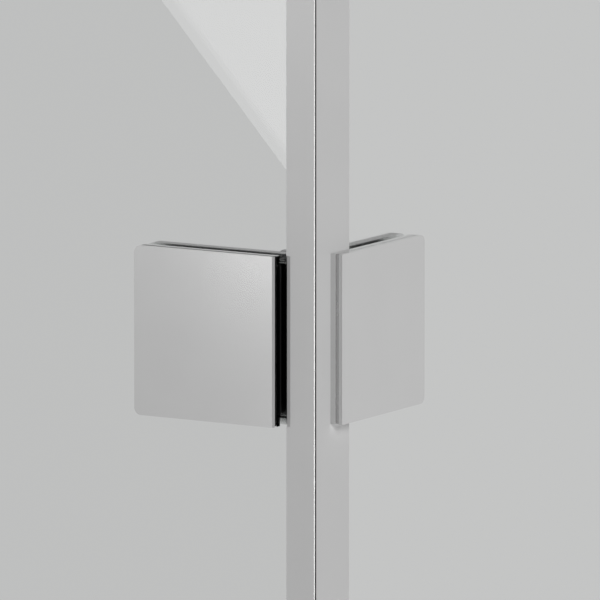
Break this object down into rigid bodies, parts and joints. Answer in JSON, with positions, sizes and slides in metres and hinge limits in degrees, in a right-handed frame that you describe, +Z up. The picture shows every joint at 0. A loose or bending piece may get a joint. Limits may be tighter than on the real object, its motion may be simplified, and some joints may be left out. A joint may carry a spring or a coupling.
{
  "type": "glass bath screen",
  "caption": "Corner bath screen: a fixed glass panel in a wall channel, and a glass door hung on it at a right angle by square plate hinges, folding inwards over the bath.",
  "frame": {"origin": "centre of the wall channel's row of screw holes, on the face that meets the wall", "axes": "+Z up, +Y into the wall, the fixed panel runs along -Y and the door along -X"},
  "size_m": [0.608, 0.808, 1.4016],
  "materials": {
    "clear_glass": "clear toughened glass, polished",
    "satin_chrome": "satin chrome, fine brushed",
    "satin_aluminium": "satin anodised",
    "black_rubber": "matt",
    "black_plastic": "moulded, low gloss",
    "clear_seal": "translucent flexible plastic",
    "nylon": "plain",
    "steel": "stainless, plain",
    "grey_plastic": "moulded, grey"
  },
  "bodies": {
    "fixed_panel": {"adjuster_caps": "grey_plastic", "adjuster_screws": "steel", "channel_cap": "grey_plastic", "corner_seal": "black_rubber", "fixed_bottom_seal": "clear_seal", "fixed_edge_caps": "grey_plastic", "fixed_edge_profile": "satin_aluminium", "fixed_glass": "clear_glass", "lower_fixed_clamp": "satin_chrome", "lower_fixed_cover": "satin_chrome", "lower_fixed_leaf": "satin_chrome", "lower_fixed_pads": "black_rubber", "lower_fixed_screws": "steel", "lower_fixed_sleeves": "nylon", "lower_fixed_spacer": "steel", "lower_pin": "steel", "lower_pin_nut": "steel", "slide_channel": "satin_aluminium", "slide_gaskets": "black_rubber", "upper_fixed_clamp": "satin_chrome", "upper_fixed_cover": "satin_chrome", "upper_fixed_leaf": "satin_chrome", "upper_fixed_pads": "black_rubber", "upper_fixed_screws": "steel", "upper_fixed_sleeves": "nylon", "upper_fixed_spacer": "steel", "upper_pin": "steel", "upper_pin_nut": "steel", "wall_channel": "satin_aluminium"},
    "door": {"door_drip_seal": "clear_seal", "door_edge_caps": "grey_plastic", "door_edge_profile": "satin_aluminium", "door_glass": "clear_glass", "lower_bushes": "nylon", "lower_door_clamp": "satin_chrome", "lower_door_core": "black_plastic", "lower_door_cover": "satin_chrome", "lower_door_leaf": "satin_chrome", "lower_door_pads": "black_rubber", "lower_door_screws": "steel", "lower_door_sleeves": "nylon", "lower_door_spacer": "black_plastic", "upper_bushes": "nylon", "upper_door_clamp": "satin_chrome", "upper_door_core": "black_plastic", "upper_door_cover": "satin_chrome", "upper_door_leaf": "satin_chrome", "upper_door_pads": "black_rubber", "upper_door_screws": "steel", "upper_door_sleeves": "nylon", "upper_door_spacer": "black_plastic"}
  },
  "joints": [
    {"name": "door_swing", "type": "hinge", "parent": "fixed_panel", "child": "door", "pos_m": [-0.0155, -0.7845, 0], "axis": [0, 0, -1], "range_deg": [0, 90]}
  ]
}
